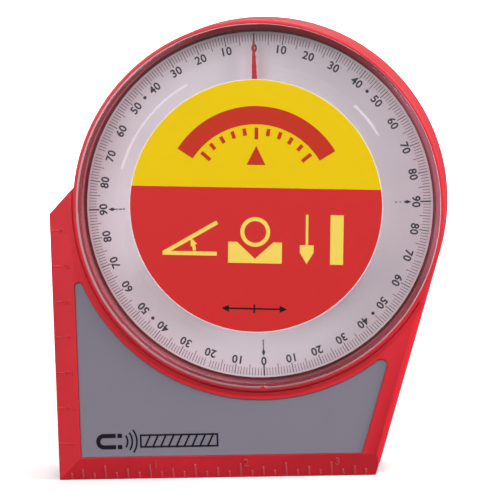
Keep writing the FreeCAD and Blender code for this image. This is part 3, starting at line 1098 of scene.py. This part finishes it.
# %% Dial marks
ink_height = 0.02 * mm
ink_depth = dial_low.y - front_y
mark_end = dial_radius - 0.6 * mm
ink_gap = 0.0001 * mm
degree_length, degree_width = 2.1 * mm, 0.17 * mm
five_length, five_width = 3.1 * mm, 0.2 * mm
ten_length, ten_width = 2.7 * mm, 0.22 * mm
axis_length, axis_width = 3.0 * mm, 0.38 * mm
axis_excess = 0.1 * mm


def turn_about_dial(piece, angle):
    centre = on_dial(0, 0, 0)
    turn = Matrix.Rotation(math.radians(angle), 4, "Y")
    piece.data.transform(Matrix.Translation(centre) @ turn @ Matrix.Translation(-centre))


def dial_bar(name, angle, outer, length, width):
    """A thin bar of ink that runs inwards from a radius."""
    middle = on_dial(outer - length / 2, 0, ink_depth - ink_height / 2)
    ink_bar = block(name, middle, (width, ink_height, length))
    turn_about_dial(ink_bar, angle)
    return ink_bar


def spin_copies(piece, count, step_angle):
    """Repeats the whole mesh about the dial's axis."""
    edit(piece)
    select_all()
    bpy.ops.mesh.spin(steps=count - 1, dupli=True, angle=math.radians(step_angle) * (count - 1),
                      center=on_dial(0, 0, 0), axis=(0, 1, 0))
    leave()
    return piece


def finish_print(pieces, name, ink):
    """Joins prints of one ink on the dial."""
    piece = join(pieces, name)
    tidy_mesh(piece, ink_gap)
    paint(piece, ink)
    ridden(piece, "case", "dial_white")


single_bars = [dial_bar("bar", angle, mark_end, degree_length, degree_width) for angle in range(1, 5)]
degree_bars = spin_copies(join(single_bars, "bars"), 72, 5)
five_bars = spin_copies(dial_bar("bar", 5, mark_end, five_length, five_width), 36, 10)
ten_bars = spin_copies(dial_bar("bar", 10, mark_end, ten_length, ten_width), 8, 10)
spin_copies(ten_bars, 4, 90)
axis_bars = spin_copies(dial_bar("bar", 0, mark_end + axis_excess, axis_length, axis_width), 4, 90)
finish_print([degree_bars, five_bars], "degree_marks", tick_ink)
finish_print([ten_bars, axis_bars], "ten_marks", dial_ink)

# %% [markdown]
# ## Dial numbers
#
# The numbers stand with their tops outwards. They are set as text, made a mesh, and turned about the axis.
# They run from 0 at the top to 90 at the sides and back to 0 below.

# %% Dial numbers
number_radius = 0.904 * dial_radius
number_size = 3.1 * mm
number_weight = 0.078 * mm


def dial_number(angle):
    shown = abs((angle + 90) % 180 - 90)
    number = make_text("number", str(shown), number_size, ink_height / 2, number_weight)
    number.data.transform(Matrix.Translation(on_dial(number_radius, 0, ink_depth)) @ stand_up)
    turn_about_dial(number, angle)
    return number


figures = [dial_number(angle) for angle in range(0, 360, 10)]
print("dial numbers", len(figures))

# %% [markdown]
# ## Kites, dashes and dots
#
# Inside the numbers at 0 and 90 there is a small kite and a dash, and a dot marks each 45 degrees. A kite is
# a square on its point whose outer and inner corners are drawn to their own radii. All are one print with
# the numbers.

# %% Kites, dashes and dots
kite_outer = 0.875 * dial_radius
kite_wide = 0.853 * dial_radius
kite_inner = 0.829 * dial_radius
kite_half_width = 0.5 * mm
dash_outer = 0.816 * dial_radius
dash_length, dash_width = 1.6 * mm, 0.3 * mm
dot_radius = 0.5 * mm


def dial_kite(angle):
    """A kite that points outwards, and a dash inside it."""
    middle = on_dial(kite_wide, 0, ink_depth - ink_height)
    bpy.ops.mesh.primitive_circle_add(vertices=4, radius=kite_half_width, fill_type="NGON", location=middle,
                                      rotation=(quarter_turn, 0, 0))
    kite = place(name_piece(bpy.context.object, "kite"))
    for vertex in kite.data.vertices:
        if vertex.co.z > middle.z + near / 10:
            vertex.co.z = dial_z + kite_outer
        elif vertex.co.z < middle.z - near / 10:
            vertex.co.z = dial_z + kite_inner
    edit(kite, "FACE")
    select_all()
    extrude((0, ink_height, 0))
    leave()
    turn_about_dial(kite, angle)
    return [kite, dial_bar("dash", angle, dash_outer, dash_length, dash_width)]


def dial_dot(angle):
    dot = disc("dot", on_dial(number_radius, 0, ink_depth - ink_height / 2), dot_radius, ink_height, 8)
    turn_about_dial(dot, angle)
    return dot


for angle in (0, 90, 180, 270):
    figures += dial_kite(angle)
figures += [dial_dot(angle) for angle in (45, 135, 225, 315)]
finish_print(figures, "dial_numbers", dial_ink)

# %% [markdown]
# ## Round label
#
# The label is a foil disc, yellow above and red below. It was stuck on by hand, a little to the left and up
# and not quite straight, and that is kept, because such a small fault is what makes it look real. A disc is
# cut along the line between the colours by a bisect, and its faces take their colour by their height.

# %% Round label
label_shift_x = -0.37 * mm
label_shift_z = 0.36 * mm
label_turn = 2.5
divider_up = 5.15 * mm
label_thickness = 0.12 * mm
paper_edge = 0.16 * mm
paper_side, yellow_side, red_side = 0, 1, 2
label_middle = on_dial(0, 0, label_seat - label_thickness) + Vector((label_shift_x, 0, label_shift_z))


def on_label(across, up):
    """A point on the label's face, from its middle, before it is turned."""
    return label_middle + Vector((across, 0, up))


def turn_label(piece):
    turn = Matrix.Rotation(math.radians(label_turn), 4, "Y")
    piece.data.transform(Matrix.Translation(label_middle) @ turn @ Matrix.Translation(-label_middle))


label_solid_middle = label_middle + Vector((0, label_thickness / 2, 0))
round_label = disc("round_label", label_solid_middle, centre_label_radius, label_thickness, 160)
edit(round_label, "FACE")
pick_faces(round_label, lambda middle, normal: normal.y < -0.9)
bpy.ops.mesh.inset(thickness=paper_edge)
leave()
paint(round_label, label_paper, label_yellow, label_red)
for face in round_label.data.polygons:
    on_front = face.normal.y < -0.9 and len(face.vertices) > 4
    face.material_index = yellow_side if on_front else paper_side
edit(round_label)
select_all()
bpy.ops.mesh.bisect(plane_co=on_label(0, divider_up), plane_no=(0, 0, 1))
leave()
for face in round_label.data.polygons:
    if face.material_index == yellow_side and face.center.z < label_middle.z + divider_up:
        face.material_index = red_side
turn_label(round_label)
smooth(round_label)
round_label.visible_shadow = False
ridden(round_label, "case", "centre_print", "centre_label")

# %% [markdown]
# ## Flat prints
#
# The labels' signs say without words what the tool does. They are flat prints: each outline is drawn from one
# point by extrusions, filled, and given the thickness of ink. Arcs, bars and arrow heads are all made this
# way, so that the signs look like one set.

# %% Outlines of prints
print_height = 0.02 * mm


def stencil(name, outline):
    """A flat print with this outline, a list of (across, up), lying on the plane z = 0 and facing +Z."""
    piece = drawn(name, [Vector((across, up, 0)) for across, up in outline])
    bpy.ops.mesh.edge_face_add()
    bpy.ops.mesh.select_mode(type="FACE")
    select_all()
    extrude((0, 0, print_height))
    face_outwards()
    leave()
    return piece


def around(centre, radius, angle):
    """A point on a circle. Angles are degrees, anticlockwise from the right."""
    turn = math.radians(angle)
    return centre[0] + radius * math.cos(turn), centre[1] + radius * math.sin(turn)


def arc_points(centre, radius, start, end, steps):
    return [around(centre, radius, start + (end - start) * step / steps) for step in range(steps + 1)]


def band(centre, inner, outer, start, end, steps=24):
    """A bent bar between two radii."""
    outline = arc_points(centre, outer, start, end, steps) + arc_points(centre, inner, end, start, steps)
    return stencil("band", outline)


def bar(start, end, width):
    """A straight bar between two points."""
    along = Vector((end[0] - start[0], end[1] - start[1])).normalized()
    side = Vector((-along.y, along.x)) * width / 2
    first, last = Vector(start), Vector(end)
    return stencil("bar", [first - side, last - side, last + side, first + side])


def panel(name, left, right, foot, top):
    """An upright rectangle."""
    return stencil(name, [(left, foot), (right, foot), (right, top), (left, top)])


def arrow_head(tip, direction, size):
    """A three-sided head with its tip at a point. Direction is degrees from the right."""
    turn = math.radians(direction)
    along, side = Vector((math.cos(turn), math.sin(turn))), Vector((-math.sin(turn), math.cos(turn)))
    back = Vector(tip) - along * size
    return stencil("head", [tip, back + side * size / 2, back - side * size / 2])


# %% [markdown]
# ## Laying prints on the label
#
# Crossing prints would share a face and flicker, so each one is lifted a little more than the last. A joined
# sign is stood upright on the label's middle and turned with it.

# %% Laying prints
print_step = 0.002 * mm


def join_prints(pieces, name):
    """Joins flat prints. Each lies a little higher than the last, so that crossing ones share no face."""
    for number, piece in enumerate(pieces):
        piece.data.transform(Matrix.Translation((0, 0, number * print_step)))
    return join(pieces, name)


def print_on_label(pieces, name, ink):
    """Lays prints on the round label, joins them and turns them with it."""
    sign = join_prints(pieces, name)
    place(sign, Matrix.Translation(on_label(0, 0)) @ stand_up)
    turn_label(sign)
    paint(sign, ink)
    ridden(sign, "case", "centre_print")


# %% [markdown]
# ## Protractor sign
#
# A wide protractor arc stands on the yellow, with teeth every ten degrees and an arrow head that points up
# to it. Its red leans to orange, as ink does that is printed on yellow.

# %% Protractor sign
label_warm_red = printed("label warm red", (0.50, 0.022, 0.004), 0.4)
arc_middle = (0, 2.0 * mm)
arc_outer = 25.5 * mm
arc_inner = 20.5 * mm
arc_half = 58
teeth_each_side = 5
tooth_pitch = 10
tooth_width = 1.0 * mm
tooth_outer = arc_inner - 0.9 * mm
tooth_inner = 17.6 * mm
long_tooth_inner = tooth_inner - 1.2 * mm
arrow_tip = (0, arc_middle[1] + 14.6 * mm)
arrow_size = 5.2 * mm

protractor = [band(arc_middle, arc_inner, arc_outer, 90 - arc_half, 90 + arc_half, 48)]
for number in range(-teeth_each_side, teeth_each_side + 1):
    angle = 90 + number * tooth_pitch
    inner_end = around(arc_middle, long_tooth_inner if number % 5 == 0 else tooth_inner, angle)
    protractor.append(bar(inner_end, around(arc_middle, tooth_outer, angle), tooth_width))
protractor.append(arrow_head(arrow_tip, 90, arrow_size))
print_on_label(protractor, "protractor_sign", label_warm_red)

# %% [markdown]
# ## Signs for the three uses
#
# Three small signs on the red show what is tested: a slope, a pipe lying in the groove and a wall. They
# stand beside each other at one height. The first is an angle with a curved arrow between its legs.

# %% Slope sign
label_cream = printed("label cream yellow", (0.86, 0.62, 0.10), 0.4)
signs_up = -8.2 * mm
line = 1.1 * mm
slope_left, slope_right = -25.5 * mm, -10.5 * mm
slope_foot = signs_up - 5.0 * mm
slope_angle = 30
leg_inset = 0.3 * mm
curve_inner, curve_outer = 8.4 * mm, 9.3 * mm
curve_angles = (5, 24)
curve_tip_angle = 27.6
curve_tip_size = 2.0 * mm
curve_tip_direction = 113

corner = (slope_left, slope_foot)
slope_top = slope_foot + (slope_right - slope_left) * math.tan(math.radians(slope_angle))
curve_tip = around(corner, (curve_inner + curve_outer) / 2, curve_tip_angle)
signs = [bar(corner, (slope_right, slope_foot), line)]
signs.append(bar((slope_left + leg_inset, slope_foot), (slope_right, slope_top), line))
signs.append(band(corner, curve_inner, curve_outer, *curve_angles, 8))
signs.append(arrow_head(curve_tip, curve_tip_direction, curve_tip_size))
print("slope sign", len(signs), "prints")

# %% [markdown]
# ## Pipe and plumb bob
#
# The pipe is a ring above a block with a groove. Beside the wall hangs a plumb bob on its line, drawn as a
# short cylinder with a point.

# %% Pipe sign and plumb sign
pipe_radius = 4.1 * mm
pipe_up = signs_up + 1.2 * mm
block_half = 7.4 * mm
block_foot, block_top = signs_up - 7.4 * mm, signs_up - 1.6 * mm
groove_half = 5.0 * mm
groove_depth = 4.6 * mm
wall_left, wall_width = 20.6 * mm, 3.6 * mm
wall_foot, wall_top = signs_up - 7.4 * mm, signs_up + 6.2 * mm
bob_x = 14.2 * mm
bob_half = 1.9 * mm
bob_top, bob_shoulder = signs_up - 2.2 * mm, signs_up - 4.2 * mm
cord_width = 0.7 * mm

signs.append(band((0, pipe_up), pipe_radius - line, pipe_radius, 0, 359.9, 40))
signs.append(stencil("block", [(-block_half, block_foot), (block_half, block_foot), (block_half, block_top),
                               (groove_half, block_top), (0, block_top - groove_depth),
                               (-groove_half, block_top), (-block_half, block_top)]))
signs.append(panel("wall", wall_left, wall_left + wall_width, wall_foot, wall_top))
signs.append(bar((bob_x, wall_top), (bob_x, bob_top), cord_width))
signs.append(stencil("bob", [(bob_x - bob_half, bob_top), (bob_x + bob_half, bob_top),
                             (bob_x + bob_half, bob_shoulder), (bob_x, wall_foot),
                             (bob_x - bob_half, bob_shoulder)]))
print_on_label(signs, "use_signs", label_cream)

# %% [markdown]
# ## Level sign
#
# A thin double arrow with a tick in its middle stands for level. It is small and black, and it is printed
# near the label's foot.

# %% Level sign
level_up = -28.2 * mm
level_half = 9.0 * mm
level_line = 0.45 * mm
level_tick = 1.2 * mm
level_head = 2.0 * mm
shaft_half = level_half - 1.6 * mm

level_prints = [bar((-shaft_half, level_up), (shaft_half, level_up), level_line)]
level_prints.append(arrow_head((-level_half, level_up), 180, level_head))
level_prints.append(arrow_head((level_half, level_up), 0, level_head))
level_prints.append(bar((0, level_up - level_tick), (0, level_up + level_tick), level_line))
print_on_label(level_prints, "level_sign", label_black)

# %% [markdown]
# ## Grey label
#
# The grey label lies in the base's recess. Its solid has the right outline, so it stays, in a satin grey. A
# plain black sign near its lower left corner says that the base is magnetic: a horseshoe magnet, the arcs of
# its field and a bar of steel.

# %% Grey label
dress_solid(nodes["base_label"], label_grey, 0.0)

# %% [markdown]
# ## Magnet sign
#
# The magnet is half a band and two legs, with its poles set off by a gap. Three arcs of its field come out of
# the poles' middle.

# %% Magnet sign
sign_left = base_label_low.x + 4.3 * mm
sign_up = base_label_low.z + 4.3 * mm
magnet_outer = 2.2 * mm
magnet_inner = 1.0 * mm
magnet_legs = 3.4 * mm
pole_gap = 0.45 * mm
pole_length = 1.3 * mm
field_width = 0.5 * mm
field_step = 1.3 * mm
field_half = 36

legs_end = magnet_outer + magnet_legs
poles_start = legs_end + pole_gap
poles_end = poles_start + pole_length
magnet = [band((magnet_outer, 0), magnet_inner, magnet_outer, 90, 270, 24)]
for low, high in ((-magnet_outer, -magnet_inner), (magnet_inner, magnet_outer)):
    magnet.append(panel("leg", magnet_outer, legs_end, low, high))
    magnet.append(panel("pole", poles_start, poles_end, low, high))
for number in range(1, 4):
    radius = pole_length + number * field_step
    magnet.append(band((poles_start, 0), radius, radius + field_width, -field_half, field_half, 12))
print("magnet and field", len(magnet), "prints")

# %% [markdown]
# ## Hatched bar of steel
#
# The steel that the magnet draws is a bar with slanting lines, as in a section drawing. It joins the magnet
# and its field in one sign.

# %% Hatched bar of steel
steel_start = poles_end + 5.0 * mm
steel_length = 22.0 * mm
steel_half = 1.9 * mm
frame_width = 0.5 * mm
hatch_count = 10
hatch_lean = 0.9 * mm

steel_end = steel_start + steel_length
for up in (frame_width / 2 - steel_half, steel_half - frame_width / 2):
    magnet.append(bar((steel_start, up), (steel_end, up), frame_width))
for across in (steel_start + frame_width / 2, steel_end - frame_width / 2):
    magnet.append(bar((across, -steel_half), (across, steel_half), frame_width))
for number in range(1, hatch_count):
    foot = steel_start + number * steel_length / hatch_count
    magnet.append(bar((foot - hatch_lean, -steel_half), (foot + hatch_lean, steel_half), frame_width))
magnet_sign = join_prints(magnet, "magnet_sign")
place(magnet_sign, Matrix.Translation((sign_left, base_label_low.y, sign_up)) @ stand_up)
paint(magnet_sign, label_black)
ridden(magnet_sign, "case", "grey_label")

# %% [markdown]
# ## Cover screws
#
# Two countersunk screws hold the rear cover. Their solids are plain, so each gets its cross recess here: a
# cross-shaped cutter is taken out of a copy of the screw by a boolean.

# %% Cover screws
cross_width = 0.62 * mm
cross_length = 3.0 * mm
cross_depth = 0.9 * mm
cross_taper = 0.6
upper_screw = Vector((dial_x, housing_high.y, dial_z + 43.0 * mm))
lower_screw = on_base(44.35 * mm, 20.0 * mm, housing_high.y - front_y)

screws = copy_of(nodes["cover_screws"], "cover_screw_heads")
tidy_mesh(screws)
cutters = []
for head in (upper_screw, lower_screw):
    for across, up in ((cross_length, cross_width), (cross_width, cross_length)):
        cutter = block("cross", head, (across, 2 * cross_depth, up))
        edit(cutter)
        pick_faces(cutter, lambda middle, normal: normal.y < -0.9)
        bpy.ops.transform.resize(value=(cross_taper, 1, cross_taper), center_override=head)
        leave()
        cutters.append(cutter)
for cutter in cutters:
    cut_away(screws, cutter)
paint(screws, screw_steel)
smooth(screws)
ridden(screws, "case", "screw_steel", "cover_screws")

# %% [markdown]
# ## Floor and light
#
# The stage is a pale sweep: a floor that rises into a wall, so that no line shows behind the object. It is
# one point that is extruded along the floor and the curve, and the line that this leaves is drawn sideways.

# %% Stage
floor_near = -1.6
floor_far = 1.4
floor_half_width = 2.2
sweep_radius = 0.8
sweep_steps = 12
wall_height = 2.2

route = [Vector((-floor_half_width, floor_near, 0)), Vector((-floor_half_width, floor_far, 0))]
for step in range(1, sweep_steps + 1):
    turn = quarter_turn * step / sweep_steps
    rise = Vector((0, sweep_radius * math.sin(turn), sweep_radius * (1 - math.cos(turn))))
    route.append(route[1] + rise)
route.append(route[-1] + Vector((0, 0, wall_height)))
stage = drawn("stage", route, closed=False)
extrude((2 * floor_half_width, 0, 0))
face_outwards()
leave()
smooth(stage, 60)
print("stage", len(stage.data.polygons), "faces")

# %% [markdown]
# ## Floor finish
#
# The camera sees a nearly white floor. Light that bounces off it is kept lower, as on a table with dark
# surroundings, so that the lower bevel stays darker than the front. Far from the object the floor glows by
# itself for the camera, so that it runs into the white surround without a horizon.

# %% Floor finish
floor_seen = (0.97, 0.97, 0.97)
floor_bounced = (0.08, 0.08, 0.08)
no_glow = (0.0, 0.0, 0.0)
glow_start = 0.25
glow_end = 0.8

floor = Finish("pale floor", floor_seen, roughness=0.9)
floor.set(Specular_IOR_Level=0.1, Emission_Strength=1.0)
seen = floor.tree.nodes.new("ShaderNodeLightPath").outputs["Is Camera Ray"]
floor.feed(floor.mix_colour(seen, floor_bounced, floor_seen), "Base Color")
far_off = floor.value_range(floor.distance((0, 0, 0), counted=(1, 1, 1)), glow_start, glow_end, 0.0, 1.0)
glow = floor.mix_colour(far_off, no_glow, floor_seen)
floor.feed(floor.mix_colour(seen, no_glow, glow), "Emission Color")
paint(stage, floor.material)

# %% [markdown]
# ## Surround
#
# The camera sees a white surround, which hides the end of the floor. For everything else it is a weak light
# from all sides, so that the lamps decide what is bright.

# %% Surround
world_colour = (1.0, 0.99, 0.985, 1.0)
world_light = 0.3
world_seen = 1.0

bpy.context.scene.view_settings.view_transform = "Standard"
world = bpy.data.worlds.new("studio")
bpy.context.scene.world = world
world.use_nodes = True
surround = world.node_tree
background = surround.nodes["Background"]
background.inputs["Color"].default_value = world_colour
strength = surround.nodes.new("ShaderNodeMapRange")
strength.inputs["To Min"].default_value = world_light
strength.inputs["To Max"].default_value = world_seen
seen = surround.nodes.new("ShaderNodeLightPath").outputs["Is Camera Ray"]
surround.links.new(seen, strength.inputs["Value"])
surround.links.new(strength.outputs["Result"], background.inputs["Strength"])
print("surround lights with", world_light, "and is seen as", world_seen)

# %% [markdown]
# ## Lamps
#
# A soft box on the left and a weaker one on the right are mirrored in the cap's step as two bright streaks.
# Two wide ones near the camera light the front evenly, and the others light the sides, the back and the
# backdrop. Rays that pass the clear cap don't see the lamps, because the cap casts no shadow and their light
# would reach the dial twice.

# %% Lamps
object_middle = Vector((0, 0, 0.06))
wall_foot_behind = Vector((0, 1.9, 0.2))


def soft_box(name, azimuth, elevation, distance, width, height, power, target=object_middle, mirrored=False):
    """A lamp that looks at a target. Azimuth 0 is the front and 90 the right, in degrees."""
    turn, lift = math.radians(azimuth), math.radians(elevation)
    away = Vector((math.sin(turn) * math.cos(lift), -math.cos(turn) * math.cos(lift), math.sin(lift)))
    lamp = bpy.data.lights.new(name, "AREA")
    lamp.shape = "RECTANGLE"
    lamp.size = width
    lamp.size_y = height
    lamp.energy = power
    item = bpy.data.objects.new(name, lamp)
    bpy.context.scene.collection.objects.link(item)
    item.visible_glossy = mirrored
    item.visible_transmission = False
    item.location = target + away * distance
    item.rotation_euler = (-away).to_track_quat("-Z", "Y").to_euler()


soft_box("left key", -42, 26, distance=1.6, width=0.9, height=0.9, power=11.0, mirrored=True)
soft_box("right key", 38, 25, distance=1.6, width=0.42, height=0.42, power=3.4, mirrored=True)
soft_box("high front", 5, 45, distance=2.2, width=1.6, height=1.0, power=10.5)
soft_box("front", 0, 26, distance=2.4, width=1.6, height=0.8, power=12.0)
soft_box("right side", 80, 14, distance=1.2, width=0.6, height=0.6, power=17.0)
soft_box("top right", 95, 50, distance=1.2, width=0.6, height=0.6, power=2.5)
soft_box("left side", -85, 10, distance=1.2, width=0.6, height=0.6, power=2.0)
soft_box("back", 170, 30, distance=1.2, width=0.9, height=0.9, power=7.0)
soft_box("backdrop", 0, 70, 1.3, width=1.0, height=0.6, power=20.0, target=wall_foot_behind, mirrored=True)
print("lamps", len(bpy.data.lights))

# %% [markdown]
# ## Finish
#
# At the end only the camera is left selected.

# %% Finish
only(camera)
